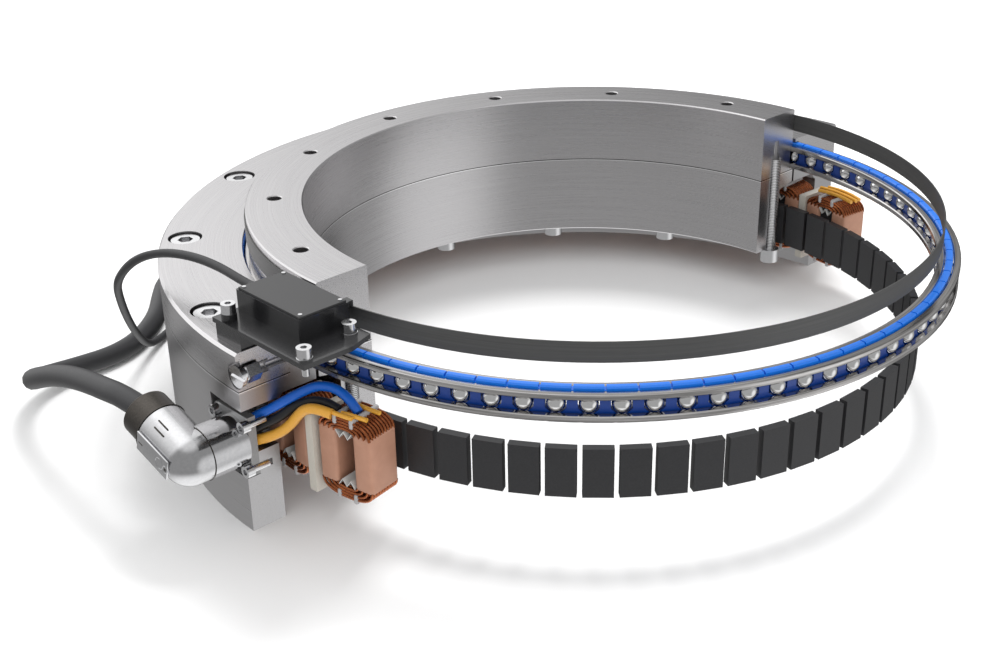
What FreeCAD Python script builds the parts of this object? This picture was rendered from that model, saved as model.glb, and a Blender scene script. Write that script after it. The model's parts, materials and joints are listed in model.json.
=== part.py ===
"""Frameless direct-drive motor, shown cut open.

A large ring motor whose housing and rotor rings are cut by one plane through the axis.
The bearing, the encoder tape and the magnets stay whole, so the working parts stand free
in the open half. Millimetres, +Z up along the axis of rotation, origin on that axis at
the bottom face of the housing. The cut plane is Y = 0 and the kept half lies at +Y.
End A, with the connector and the read head, is at -X. End B is at +X.
"""
import FreeCAD
import Part
import math
import os
from FreeCAD import Vector

# Wire-race ball bearing, the middle of everything
BALL_PITCH_R = 171.5
BALL_Z = 75.3
BALL_R = 4.0
BALL_COUNT = 84
BALL_START_DEG = 0.27
BALL_SIDES = 8
BALL_FLAT_SHARE = 0.8
WIRE_W = 3.3
WIRE_H = 2.8
WIRE_GAP_R = 2.1
WIRE_GAP_Z = 3.5
WIRE_EDGE = 0.45
WIRE_FIT = 0.05
CAGE_T = 3.4
CAGE_H = 15.4
CAGE_CROWN = 0.6
CAGE_CLEARANCE = 0.4
CAGE_SIDE_CLEARANCE = 0.2
POCKET_CLEARANCE = 0.25
CAGE_NOTCH_W = 0.8
CAGE_NOTCH_DEPTH = 1.4

# Rotor rings
BORE_R = 140.0
ROTOR_R = 167.4
ROTOR_BOTTOM_Z = 23.8
ROTOR_TOP_Z = 103.5
ROTOR_SEAM_Z = 67.6
ROTOR_REGISTER_R = 159.0
ROTOR_GAP = 1.5
ROTOR_LAND_GAP = 0.3
ROTOR_FLARE_LOW_Z = 58.0
ROTOR_FLARE_HIGH_Z = 60.2
ROTOR_CHAMFER = 0.6

# Housing rings
HOUSING_BORE_R = 193.0
WALL_T = 17.0
HOUSING_R = HOUSING_BORE_R + WALL_T
HOUSING_H = 85.3
HOUSING_SEAM_Z = 66.4
HOUSING_REGISTER_R = 184.0
HOUSING_LIP_GAP = 3.0
HOUSING_LAND_Z = 59.8
SHOULDER_SIZE = 4.4
HOUSING_CHAMFER = 1.2

# Screw patterns, each with seven places over the kept half
PATTERN_DEG = 180.0 / 7
PATTERN_COUNT = 7
HOLE_CLEARANCE = 0.1
HOUSING_SCREW_INSET = 11.8
HOUSING_SCREW_R = HOUSING_R - HOUSING_SCREW_INSET
HOUSING_SCREW_D = 8.0
HOUSING_SCREW_L = 30.3
HOUSING_HEAD_D = 14.0
HOUSING_HEAD_H = 8.0
HOUSING_HEAD_SINK = 1.0
HOUSING_COUNTERBORE_D = 16.6
HOUSING_KEY = 6.6
SCREW_TIP_ROOM = 2.0
ROTOR_HOLE_R = 153.6
ROTOR_HOLE_D = 6.8
ROTOR_HOLE_MOUTH_D = 7.7
ROTOR_HOLE_DEPTH = ROTOR_TOP_Z - ROTOR_SEAM_Z
ROTOR_BOLT_R = 152.5
ROTOR_BOLT_D = 6.2
ROTOR_BOLT_L = 54.5
ROTOR_BOLT_HEAD_D = 10.4
ROTOR_BOLT_HEAD_H = 7.5
ROTOR_BOLT_KEY = 5.0
ROTOR_BOLT_HOLE_D = 6.8
ROTOR_DRILL_D = 3.9
ROTOR_DRILL_DEPTH = 8.0

# Encoder tape
TAPE_GAP = 0.1
TAPE_T = 0.6
TAPE_BOTTOM_Z = 91.0
TAPE_H = 9.1

# Magnets
MAGNET_SEAT_R = 158.2
MAGNET_SEAT_GAP = 0.15
MAGNET_COUNT = 66
MAGNET_START_DEG = 1.0
MAGNET_W = 13.1
MAGNET_T = 4.0
MAGNET_H = 23.0
MAGNET_BOTTOM_Z = 25.6

# Stator core, coils and posts
COIL_PITCH_DEG = 11.7
COIL_START_DEG = -8.95
COIL_COUNT = 18
COIL_INNER_R = 168.2
COIL_DEPTH = 16.8
COIL_W = 29.4
COIL_WINDOW_W = 9.0
COIL_WINDOW_LOW_Z = 24.0
COIL_WINDOW_H = 27.0
COIL_TURN_H = 6.0
COIL_CORNER_R = 6.0
POST_W = 4.4
POST_INSET = 0.3
POST_REACH = 1.7
POST_LOW_Z = 16.0
POST_H = 38.0
CORE_FIT = 0.2
CORE_LOW_Z = 24.4
CORE_H = 26.2
CORE_YOKE_GAP = 0.3
TOOTH_CLEARANCE = 0.3
LINER_T = 0.5
LINER_RISE = 3.0
LINER_SEAT_GAP = 0.05
LINER_FOLDS = 4

# Grease plug, on the cut plane at end A
GREASE_RECESS_D = 13.0
GREASE_RECESS_DEPTH = 2.0
GREASE_PLUG_BORE_D = 9.0
GREASE_PLUG_BORE_L = 7.8
GREASE_BORE_D = 6.0
GREASE_BORE_L = 5.6
GREASE_FEED_D = 4.0
GREASE_DISC_D = 10.0
GREASE_DISC_T = 1.8
GREASE_DISC_GAP = 0.5
GREASE_NECK_D = 7.0
GREASE_NECK_L = 2.0
GREASE_HEX = 7.6
GREASE_SLOT_W = 1.6
GREASE_SLOT_DEPTH = 0.8

# Power connector
CONNECTOR_Y = 10.75
CONNECTOR_Z = 40.5
FLANGE_SIZE = 28.0
FLANGE_T = 4.0
FLANGE_SINK = 2.5
FLANGE_CORNER_R = 3.0
FLANGE_HOLE_D = 15.0
FLANGE_PITCH = 21.4
FLANGE_SCREW_D = 3.0
FLANGE_SCREW_HEAD_D = 5.5
FLANGE_SCREW_HEAD_H = 3.6
FLANGE_SCREW_KEY = 2.5
FLANGE_SCREW_L = 8.5
POCKET_GAP = 0.3
POCKET_TOP_Z = 58.5
PASSAGE_LOW_Z = 37.0
PASSAGE_W = 22.0
TUBE_D = 24.0
TUBE_L = 17.5
ELBOW_REACH = 5.0
BARREL_TILT_DEG = 16.0
BARREL_D = 23.5
BARREL_L = 22.0
NUT_D = 22.0
NUT_L = 13.0
NUT_CHAMFER = 1.5

# Encoder read head
FOOT_LOW_X = -206.0
FOOT_HIGH_X = -176.0
FOOT_Y = 1.0
FOOT_L = 17.5
PLATE_Z = 92.8
PLATE_T = 2.2
PLATE_OUTER_X = -207.0
PLATE_INNER_X = -171.0
PLATE_FRONT_Y = -44.0
PLATE_BACK_Y = 19.0
PLATE_CHAMFER_X = 12.0
PLATE_CHAMFER_Y = 4.0
HEAD_X = -195.5
HEAD_W = 25.2
HEAD_Y = -26.5
HEAD_L = 44.0
HEAD_H = 10.2
HEAD_CORNER_R = 0.8
COVER_T = 0.8
COVER_INSET = 0.9
COVER_SCREW_D = 1.8
COVER_SCREW_H = 0.4
COVER_SCREW_INSET = 2.6
TAB_L = 3.7
TAB_W = 4.0
TAB_Y = -24.0
TAB_LOW_Z = 100.6
TAB_H = 2.6
HEAD_SCREW_D = 3.0
HEAD_SCREW_L = 8.0
HEAD_SCREW_HEAD_D = 6.2
HEAD_SCREW_HEAD_H = 4.3
HEAD_SCREW_KEY = 2.5
HEAD_TIP_ROOM = 1.0
HEAD_WASHER_D = 6.6
HEAD_WASHER_T = 0.7
HEAD_BOSS_H = 3.0
HEAD_BOSS_PLACE = (-203.2, 12.0)
HEAD_SCREW_PLACES = [(-203.0, -39.2), (-176.7, -33.9)]

# Cord diameters
LEAD_D = 4.2
LEAD_YELLOW_D = 4.6
WINDING_LEAD_D = 2.0
POWER_CABLE_D = 10.6
ENCODER_CABLE_D = 4.0

# Cord routes, each a list of points chosen along the real one
LEAD_BLUE = [
    (-203.4, 6.0, 49.5), (-199.4, 4.6, 51.2), (-193.5, -1.0, 55.5), (-187.0, -7.5, 61.0),
    (-180.3, -13.5, 65.0), (-176.5, -20.5, 65.2), (-174.8, -27.5, 62.2), (-174.7, -33.5, 57.6),
]
LEAD_BLACK = [
    (-203.4, 7.0, 43.8), (-198.7, 3.5, 46.4), (-193.8, -1.9, 50.0), (-188.4, -6.55, 55.3),
    (-183.6, -13.0, 58.9), (-180.6, -19.5, 59.4), (-178.8, -25.5, 57.6),
]
LEAD_YELLOW = [
    (-203.4, 6.0, 39.4), (-199.2, 1.5, 41.0), (-194.4, -3.8, 44.0), (-190.4, -7.2, 48.6),
    (-188.9, -10.8, 52.8),
]
WINDING_LEADS_A = [
    [(-184.0, -19.0, 58.1), (-183.3, -25.0, 58.4), (-182.2, -31.0, 58.4), (-180.6, -37.0, 58.1)],
    [(-180.3, -29.5, 58.1), (-179.4, -33.5, 58.4), (-178.3, -38.0, 58.4), (-177.0, -42.0, 58.1)],
    [(-171.8, -17.0, 58.1), (-172.0, -25.0, 58.4), (-171.2, -33.0, 58.4), (-169.4, -41.0, 58.1)],
]
WINDING_LEADS_B = [
    [(180.4, -18.0, 58.1), (180.2, -26.0, 58.4), (178.4, -34.0, 58.4), (175.4, -42.0, 58.1)],
    [(177.0, -15.0, 58.1), (176.8, -24.0, 58.4), (175.2, -33.0, 58.4), (172.4, -42.0, 58.1)],
    [(172.6, -17.0, 58.1), (172.6, -25.0, 58.4), (171.4, -33.0, 58.4), (169.0, -41.0, 58.1)],
]
POWER_ROUTE = [
    (-231.0, 60.0, 51.5), (-231.0, 75.0, 49.0), (-230.5, 91.0, 46.3), (-229.8, 109.5, 42.0),
    (-229.3, 128.0, 36.0), (-229.5, 145.5, 28.5), (-227.3, 161.0, 20.6), (-220.0, 174.0, 13.5),
    (-207.5, 182.0, 8.6), (-190.0, 185.0, 5.8), (-172.0, 184.2, 5.4), (-156.0, 189.0, 5.4),
    (-141.5, 199.0, 5.4), (-127.5, 212.0, 5.4), (-116.0, 228.0, 5.4), (-102.0, 246.0, 5.4),
    (-82.0, 261.0, 5.4), (-56.0, 270.0, 5.4), (-26.0, 275.0, 5.4), (8.0, 270.0, 5.4),
    (40.0, 251.0, 5.4), (72.0, 224.0, 5.4), (104.8, 199.3, 5.4),
]
ENCODER_ROUTE = [
    (-183.5, 34.0, 100.4), (-183.0, 48.0, 101.0), (-184.0, 64.0, 101.0), (-186.5, 80.0, 99.5),
    (-190.5, 91.0, 97.2), (-195.5, 98.0, 94.0), (-199.5, 103.5, 88.5), (-200.0, 112.0, 79.0),
    (-194.0, 123.0, 66.0), (-182.5, 141.0, 46.0), (-168.5, 160.0, 25.0), (-154.5, 176.0, 8.5),
    (-141.0, 188.0, 3.2), (-124.0, 199.0, 2.3), (-104.0, 207.5, 2.3), (-82.0, 211.5, 2.3),
    (-58.0, 213.5, 2.3), (-38.0, 214.7, 2.3),
]

# Cord coils and plugs, put away behind the housing
POWER_COIL_R = 53.0
POWER_COIL_CENTRE = (130.5, 245.5)
POWER_COIL_WIDE = 2
POWER_COIL_HIGH = 2
ENCODER_COIL_R = 22.0
ENCODER_COIL_CENTRE = (-41.7, 236.4)
ENCODER_COIL_WIDE = 3
ENCODER_COIL_HIGH = 2
POWER_PLUG_D = 24.0
POWER_PLUG_L = 46.0
ENCODER_PLUG_D = 13.0
ENCODER_PLUG_L = 34.0
PLUG_STEP = 0.8
PLUG_FRONT_SHARE = 0.55
FLOOR_GAP = 0.1

# Strain relief of the encoder cable
ENCODER_SLEEVE_D = 6.4
ENCODER_SLEEVE_L = 7.0
ENCODER_EXIT_X = -183.6
ENCODER_EXIT_Z = 100.0

# Values that follow from the driving dimensions
WIRE_OUT_R = BALL_PITCH_R + WIRE_GAP_R
WIRE_IN_R = BALL_PITCH_R - WIRE_GAP_R - WIRE_W
WIRE_LOW_Z = BALL_Z - WIRE_GAP_Z - WIRE_H
WIRE_HIGH_Z = BALL_Z + WIRE_GAP_Z
GROOVE_OUT_R = WIRE_OUT_R + WIRE_W + WIRE_FIT
GROOVE_IN_R = WIRE_IN_R - WIRE_FIT
GROOVE_LOW_Z = WIRE_LOW_Z - WIRE_FIT
GROOVE_HIGH_Z = WIRE_HIGH_Z + WIRE_H + WIRE_FIT
CAGE_IN_R = BALL_PITCH_R - CAGE_T / 2
CAGE_OUT_R = BALL_PITCH_R + CAGE_T / 2
CAGE_LOW_Z = BALL_Z - CAGE_H / 2
CAGE_HIGH_Z = BALL_Z + CAGE_H / 2
ROTOR_LAND_R = CAGE_IN_R - ROTOR_LAND_GAP
HOUSING_LAND_R = ROTOR_LAND_R + ROTOR_GAP
HOUSING_LIP_R = ROTOR_R + HOUSING_LIP_GAP
CAGE_ROOM_R = CAGE_OUT_R + CAGE_SIDE_CLEARANCE
WALL_R = HOUSING_R - WALL_T
COIL_OUTER_R = COIL_INNER_R + COIL_DEPTH
COIL_LOW_Z = COIL_WINDOW_LOW_Z - COIL_TURN_H
COIL_TOP_Z = COIL_WINDOW_LOW_Z + COIL_WINDOW_H + COIL_TURN_H
CORE_R = WALL_R - CORE_FIT
YOKE_IN_R = math.hypot(COIL_OUTER_R, COIL_W / 2) + CORE_YOKE_GAP
FLANGE_FACE_X = FLANGE_SINK - HOUSING_R
FLANGE_BACK_X = FLANGE_FACE_X + FLANGE_T
ELBOW_X = FLANGE_FACE_X - TUBE_L - ELBOW_REACH
PLATE_TOP_Z = PLATE_Z + PLATE_T
HEAD_TOP_Z = PLATE_TOP_Z + HEAD_H
GREASE_SEAT_X = GREASE_RECESS_DEPTH - HOUSING_R
HOLE_ANGLES = [PATTERN_DEG * (k + 0.5) for k in range(PATTERN_COUNT)]
BOLT_ANGLES = [PATTERN_DEG * k for k in range(PATTERN_COUNT + 1)]
X_AXIS = Vector(1, 0, 0)
Y_AXIS = Vector(0, 1, 0)
Z_AXIS = Vector(0, 0, 1)
CENTRE = Vector(0, 0, 0)


# Shared shapes
def ring(profile, sweep_deg=360.0):
    """A closed (r, z) outline turned about the axis, from the +X half plane."""
    points = [Vector(r, 0, z) for r, z in profile]
    face = Part.Face(Part.makePolygon(points + points[:1]))
    return face.revolve(CENTRE, Z_AXIS, sweep_deg)


def cylinder(diameter, length, base, direction=Z_AXIS):
    return Part.makeCylinder(diameter / 2, length, Vector(*base), direction)


def block(low, high):
    size = [b - a for a, b in zip(low, high)]
    return Part.makeBox(size[0], size[1], size[2], Vector(*low))


def prism(corner_r, sides, length):
    """A straight prism standing at the origin along Z, with flats facing X and Y."""
    points = []
    for i in range(sides + 1):
        angle = 2 * math.pi * (i + 0.5) / sides
        points.append(Vector(corner_r * math.cos(angle), corner_r * math.sin(angle), 0))
    return Part.Face(Part.makePolygon(points)).extrude(Vector(0, 0, length))


def hexagon(across_flats, length):
    return prism(across_flats / math.sqrt(3), 6, length)


def placed(shape, base, direction=Z_AXIS):
    """A copy moved to base, with its Z turned to direction."""
    copy = shape.copy()
    copy.Placement = FreeCAD.Placement(Vector(*base), FreeCAD.Rotation(Z_AXIS, direction))
    return copy


def at_angle(shape, angle_deg):
    """A copy turned about the axis of rotation."""
    copy = shape.copy()
    copy.rotate(CENTRE, Z_AXIS, angle_deg)
    return copy


def polar(radius, angle_deg, z):
    angle = math.radians(angle_deg)
    return Vector(radius * math.cos(angle), radius * math.sin(angle), z)


def cap_screw(head_d, head_h, shank_d, shank_l, key):
    """A cap screw: its seat at the origin, its shank pointing down, a hexagonal socket."""
    head = cylinder(head_d, head_h, (0, 0, 0))
    shank = cylinder(shank_d, shank_l, (0, 0, -shank_l))
    socket = placed(hexagon(key, head_h), (0, 0, head_h / 2))
    return head.fuse(shank).cut(socket)


def plain_hole(diameter):
    """A cutter for a hole that a shank of this diameter passes or enters."""
    return diameter + 2 * HOLE_CLEARANCE


# Rotor rings
def inner_ring_upper():
    """The top ring, with the holes for the load and the seat of the upper inner wire."""
    edge = ROTOR_CHAMFER
    body = ring([
        (BORE_R, ROTOR_SEAM_Z), (BORE_R, ROTOR_TOP_Z - edge), (BORE_R + edge, ROTOR_TOP_Z),
        (ROTOR_R - edge, ROTOR_TOP_Z), (ROTOR_R, ROTOR_TOP_Z - edge), (ROTOR_R, GROOVE_HIGH_Z),
        (GROOVE_IN_R, GROOVE_HIGH_Z), (GROOVE_IN_R, BALL_Z), (ROTOR_REGISTER_R, BALL_Z),
        (ROTOR_REGISTER_R, ROTOR_SEAM_Z),
    ], 180.0)
    rim_h = (ROTOR_HOLE_MOUTH_D - ROTOR_HOLE_D) / 2
    mouth = Part.makeCone(ROTOR_HOLE_D / 2, ROTOR_HOLE_MOUTH_D / 2, rim_h)
    cutters = []
    for angle in HOLE_ANGLES:
        bottom = polar(ROTOR_HOLE_R, angle, ROTOR_TOP_Z - ROTOR_HOLE_DEPTH)
        cutters.append(cylinder(ROTOR_HOLE_D, ROTOR_HOLE_DEPTH, bottom))
        cutters.append(placed(mouth, polar(ROTOR_HOLE_R, angle, ROTOR_TOP_Z - rim_h)))
    tapped_h = ROTOR_BOTTOM_Z + ROTOR_BOLT_L + SCREW_TIP_ROOM - ROTOR_SEAM_Z
    for angle in BOLT_ANGLES:
        seam = polar(ROTOR_BOLT_R, angle, ROTOR_SEAM_Z)
        cutters.append(cylinder(plain_hole(ROTOR_BOLT_D), tapped_h, seam))
        cutters.append(cylinder(ROTOR_DRILL_D, tapped_h + ROTOR_DRILL_DEPTH, seam))
    return body.cut(cutters)


def inner_ring_lower():
    """The long ring that carries the magnets and clamps the lower inner wire."""
    edge = ROTOR_CHAMFER
    body = ring([
        (BORE_R, ROTOR_BOTTOM_Z + edge), (BORE_R, ROTOR_SEAM_Z), (ROTOR_REGISTER_R, ROTOR_SEAM_Z),
        (ROTOR_REGISTER_R, BALL_Z), (GROOVE_IN_R, BALL_Z), (GROOVE_IN_R, GROOVE_LOW_Z),
        (ROTOR_LAND_R, GROOVE_LOW_Z), (ROTOR_LAND_R, ROTOR_FLARE_HIGH_Z),
        (MAGNET_SEAT_R, ROTOR_FLARE_LOW_Z), (MAGNET_SEAT_R, ROTOR_BOTTOM_Z),
        (BORE_R + edge, ROTOR_BOTTOM_Z),
    ], 180.0)
    height = ROTOR_SEAM_Z - ROTOR_BOTTOM_Z
    holes = []
    for angle in BOLT_ANGLES:
        foot = polar(ROTOR_BOLT_R, angle, ROTOR_BOTTOM_Z)
        holes.append(cylinder(ROTOR_BOLT_HOLE_D, height, foot))
    return body.cut(holes)


def rotor_bolts():
    """Cap screws from below. The two in the cut faces stand whole in their half holes."""
    screw = cap_screw(ROTOR_BOLT_HEAD_D, ROTOR_BOLT_HEAD_H, ROTOR_BOLT_D, ROTOR_BOLT_L,
                      ROTOR_BOLT_KEY)
    return [placed(screw, polar(ROTOR_BOLT_R, a, ROTOR_BOTTOM_Z), -Z_AXIS) for a in BOLT_ANGLES]


# Housing rings
def outer_ring_upper():
    """The clamping ring over the bearing, with counterbored screw holes."""
    edge = HOUSING_CHAMFER
    lip_z = CAGE_HIGH_Z + CAGE_CLEARANCE
    body = ring([
        (HOUSING_R, HOUSING_SEAM_Z), (HOUSING_R, HOUSING_H - edge), (HOUSING_R - edge, HOUSING_H),
        (HOUSING_LIP_R, HOUSING_H), (HOUSING_LIP_R, lip_z), (CAGE_ROOM_R, lip_z),
        (CAGE_ROOM_R, GROOVE_HIGH_Z), (GROOVE_OUT_R, GROOVE_HIGH_Z), (GROOVE_OUT_R, BALL_Z),
        (HOUSING_REGISTER_R, BALL_Z), (HOUSING_REGISTER_R, HOUSING_SEAM_Z),
    ], 180.0)
    seat_z = HOUSING_H - HOUSING_HEAD_SINK - HOUSING_HEAD_H
    cutters = [grease_bore()]
    for angle in HOLE_ANGLES:
        seat = polar(HOUSING_SCREW_R, angle, seat_z)
        cutters.append(cylinder(HOUSING_COUNTERBORE_D, HOUSING_H - seat_z, seat))
        seam = polar(HOUSING_SCREW_R, angle, HOUSING_SEAM_Z)
        cutters.append(cylinder(plain_hole(HOUSING_SCREW_D), seat_z - HOUSING_SEAM_Z, seam))
    return body.cut(cutters)


def outer_ring_lower():
    """The deep ring round the core, with the bearing land and the connector's pocket."""
    land_z = CAGE_LOW_Z - CAGE_CLEARANCE
    body = ring([
        (WALL_R, 0), (HOUSING_R, 0), (HOUSING_R, HOUSING_SEAM_Z),
        (HOUSING_REGISTER_R, HOUSING_SEAM_Z), (HOUSING_REGISTER_R, BALL_Z),
        (GROOVE_OUT_R, BALL_Z), (GROOVE_OUT_R, GROOVE_LOW_Z), (CAGE_ROOM_R, GROOVE_LOW_Z),
        (CAGE_ROOM_R, land_z), (HOUSING_LAND_R, land_z), (HOUSING_LAND_R, HOUSING_LAND_Z),
        (WALL_R - SHOULDER_SIZE, HOUSING_LAND_Z), (WALL_R, HOUSING_LAND_Z - SHOULDER_SIZE),
    ], 180.0)
    seat_z = HOUSING_H - HOUSING_HEAD_SINK - HOUSING_HEAD_H
    bottom_z = seat_z - HOUSING_SCREW_L - SCREW_TIP_ROOM
    cutters = [grease_bore(), connector_pocket()]
    for angle in HOLE_ANGLES:
        bottom = polar(HOUSING_SCREW_R, angle, bottom_z)
        cutters.append(cylinder(plain_hole(HOUSING_SCREW_D), HOUSING_SEAM_Z - bottom_z, bottom))
    for y, z in flange_screw_places():
        depth = FLANGE_SCREW_L - FLANGE_T + SCREW_TIP_ROOM
        cutters.append(cylinder(plain_hole(FLANGE_SCREW_D), depth, (FLANGE_BACK_X, y, z), X_AXIS))
    return body.cut(cutters)


def grease_bore():
    """The stepped bore on the cut plane that feeds grease to the balls."""
    steps = [
        (GREASE_RECESS_D, -HOUSING_R, GREASE_RECESS_DEPTH),
        (GREASE_PLUG_BORE_D, GREASE_SEAT_X, GREASE_PLUG_BORE_L),
        (GREASE_BORE_D, GREASE_SEAT_X + GREASE_PLUG_BORE_L, GREASE_BORE_L),
        (GREASE_FEED_D, GREASE_SEAT_X, -GROOVE_OUT_R - GREASE_SEAT_X),
    ]
    cuts = [cylinder(d, length, (x, 0, BALL_Z), X_AXIS) for d, x, length in steps]
    return cuts[0].fuse(cuts[1:])


def connector_pocket():
    """The flange's pocket in the wall, and the passage behind it for the leads."""
    half = FLANGE_SIZE / 2 + POCKET_GAP
    pocket = block((-HOUSING_R - 1, -1, CONNECTOR_Z - half),
                   (FLANGE_BACK_X, CONNECTOR_Y + half, POCKET_TOP_Z))
    passage = block((FLANGE_BACK_X, -1, PASSAGE_LOW_Z), (1 - WALL_R, PASSAGE_W, POCKET_TOP_Z))
    return pocket.fuse(passage)


def housing_screws():
    screw = cap_screw(HOUSING_HEAD_D, HOUSING_HEAD_H, HOUSING_SCREW_D, HOUSING_SCREW_L, HOUSING_KEY)
    seat_z = HOUSING_H - HOUSING_HEAD_SINK - HOUSING_HEAD_H
    return [placed(screw, polar(HOUSING_SCREW_R, a, seat_z)) for a in HOLE_ANGLES]


# Bearing
def race_wire(low_r, low_z):
    """One race wire, with its four edges taken off."""
    high_r = low_r + WIRE_W
    high_z = low_z + WIRE_H
    edge = WIRE_EDGE
    return ring([
        (low_r + edge, low_z), (high_r - edge, low_z), (high_r, low_z + edge),
        (high_r, high_z - edge), (high_r - edge, high_z), (low_r + edge, high_z),
        (low_r, high_z - edge), (low_r, low_z + edge),
    ])


def ball_cage():
    """A crowned cage with a radial pocket for each ball and a notch at each joint."""
    crown = CAGE_CROWN
    body = ring([
        (CAGE_IN_R, CAGE_LOW_Z), (CAGE_OUT_R, CAGE_LOW_Z), (CAGE_OUT_R, CAGE_HIGH_Z - crown),
        (CAGE_OUT_R - crown, CAGE_HIGH_Z), (CAGE_IN_R + crown, CAGE_HIGH_Z),
        (CAGE_IN_R, CAGE_HIGH_Z - crown),
    ])
    corner_r = (BALL_R + POCKET_CLEARANCE) / math.cos(math.pi / BALL_SIDES)
    pocket = placed(prism(corner_r, BALL_SIDES, 2 * CAGE_T), (BALL_PITCH_R - CAGE_T, 0, BALL_Z), X_AXIS)
    notch = block((BALL_PITCH_R - CAGE_T, -CAGE_NOTCH_W / 2, CAGE_HIGH_Z - CAGE_NOTCH_DEPTH),
                  (BALL_PITCH_R + CAGE_T, CAGE_NOTCH_W / 2, CAGE_HIGH_Z + CAGE_T))
    step = 360.0 / BALL_COUNT
    cutters = []
    for k in range(BALL_COUNT):
        cutters.append(at_angle(pocket, BALL_START_DEG + step * k))
        cutters.append(at_angle(notch, BALL_START_DEG + step * (k + 0.5)))
    return body.cut(cutters)


def bearing_balls():
    """The balls, each as rings of flats, which keeps so many of them light."""
    flat_z = BALL_R * BALL_FLAT_SHARE
    flat_r = math.sqrt(BALL_R ** 2 - flat_z ** 2)
    outlines = []
    for radius, z in ((flat_r, -flat_z), (BALL_R, 0), (flat_r, flat_z)):
        points = []
        for i in range(BALL_SIDES + 1):
            angle = 2 * math.pi * i / BALL_SIDES
            points.append(Vector(radius * math.cos(angle), radius * math.sin(angle), z))
        outlines.append(Part.makePolygon(points))
    ball = Part.makeLoft(outlines, True, True)
    ball.translate(Vector(BALL_PITCH_R, 0, BALL_Z))
    step = 360.0 / BALL_COUNT
    return [at_angle(ball, BALL_START_DEG + step * k) for k in range(BALL_COUNT)]


# Tape and magnets
def encoder_tape():
    low_r = ROTOR_R + TAPE_GAP
    high_r = low_r + TAPE_T
    top_z = TAPE_BOTTOM_Z + TAPE_H
    return ring([(low_r, TAPE_BOTTOM_Z), (high_r, TAPE_BOTTOM_Z), (high_r, top_z), (low_r, top_z)])


def rotor_magnets():
    low_r = MAGNET_SEAT_R + MAGNET_SEAT_GAP
    magnet = block((low_r, -MAGNET_W / 2, MAGNET_BOTTOM_Z),
                   (low_r + MAGNET_T, MAGNET_W / 2, MAGNET_BOTTOM_Z + MAGNET_H))
    step = 360.0 / MAGNET_COUNT
    return [at_angle(magnet, MAGNET_START_DEG + step * k) for k in range(MAGNET_COUNT)]


# Stator
def coil_angle(place):
    """Places count from end B, where the first two coils stand in the open."""
    return COIL_START_DEG + COIL_PITCH_DEG * place


def coil(place):
    """A flat-sided coil with round corners, wound round the window of one tooth."""
    half = COIL_W / 2
    body = block((COIL_INNER_R, -half, COIL_LOW_Z), (COIL_OUTER_R, half, COIL_TOP_Z))
    corners = [e for e in body.Edges if abs(e.Vertexes[0].X - e.Vertexes[1].X) > COIL_DEPTH / 2]
    body = body.makeFillet(COIL_CORNER_R, corners)
    gap = COIL_WINDOW_W / 2
    window_top = COIL_WINDOW_LOW_Z + COIL_WINDOW_H
    window = block((COIL_INNER_R, -gap, COIL_WINDOW_LOW_Z), (COIL_OUTER_R, gap, window_top))
    return at_angle(body.cut(window), coil_angle(place))


def slot_post(place):
    """The insulated post of the unwound tooth between two coils."""
    low_r = COIL_INNER_R + POST_INSET
    post = block((low_r, -POST_W / 2, POST_LOW_Z),
                 (COIL_OUTER_R + POST_REACH, POST_W / 2, POST_LOW_Z + POST_H))
    return at_angle(post, coil_angle(place))


def liner(direction):
    """Folded paper across the window, with its peaks pointing along direction."""
    half = COIL_WINDOW_W / 2 - LINER_SEAT_GAP
    step = 2 * half / LINER_FOLDS
    near = []
    for i in range(LINER_FOLDS + 1):
        height = LINER_RISE if i % 2 else 0.0
        near.append((i * step - half, height))
    far = [(y, z + LINER_T) for y, z in reversed(near)]
    points = [Vector(COIL_INNER_R, y, direction * z) for y, z in near + far]
    face = Part.Face(Part.makePolygon(points + points[:1]))
    return face.extrude(Vector(COIL_DEPTH, 0, 0))


def slot_liners(places):
    liners = []
    low_z = COIL_WINDOW_LOW_Z + LINER_SEAT_GAP
    high_z = COIL_WINDOW_LOW_Z + COIL_WINDOW_H - LINER_SEAT_GAP
    for place in places:
        for z, direction in ((low_z, 1), (high_z, -1)):
            paper = liner(direction)
            paper.translate(Vector(0, 0, z))
            liners.append(at_angle(paper, coil_angle(place)))
    return liners


def stator_core():
    """The laminated yoke with a tooth through each hidden coil and one between each pair."""
    top_z = CORE_LOW_Z + CORE_H
    first = coil_angle(1.5)
    sweep = coil_angle(COIL_COUNT - 2.5) - first
    yoke = ring([(YOKE_IN_R, CORE_LOW_Z), (CORE_R, CORE_LOW_Z), (CORE_R, top_z),
                 (YOKE_IN_R, top_z)], sweep)
    root_r = (YOKE_IN_R + CORE_R) / 2
    wound_w = COIL_WINDOW_W - 2 * TOOTH_CLEARANCE
    low_r = COIL_INNER_R + POST_INSET
    wound = block((low_r, -wound_w / 2, CORE_LOW_Z), (root_r, wound_w / 2, top_z))
    bare = block((low_r, -POST_W / 2, CORE_LOW_Z), (root_r, POST_W / 2, top_z))
    teeth = []
    for place in range(2, COIL_COUNT - 2):
        teeth.append(at_angle(wound, coil_angle(place)))
    for place in range(1, COIL_COUNT - 2):
        teeth.append(at_angle(bare, coil_angle(place + 0.5)))
    return at_angle(yoke, first).fuse(teeth)


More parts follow.
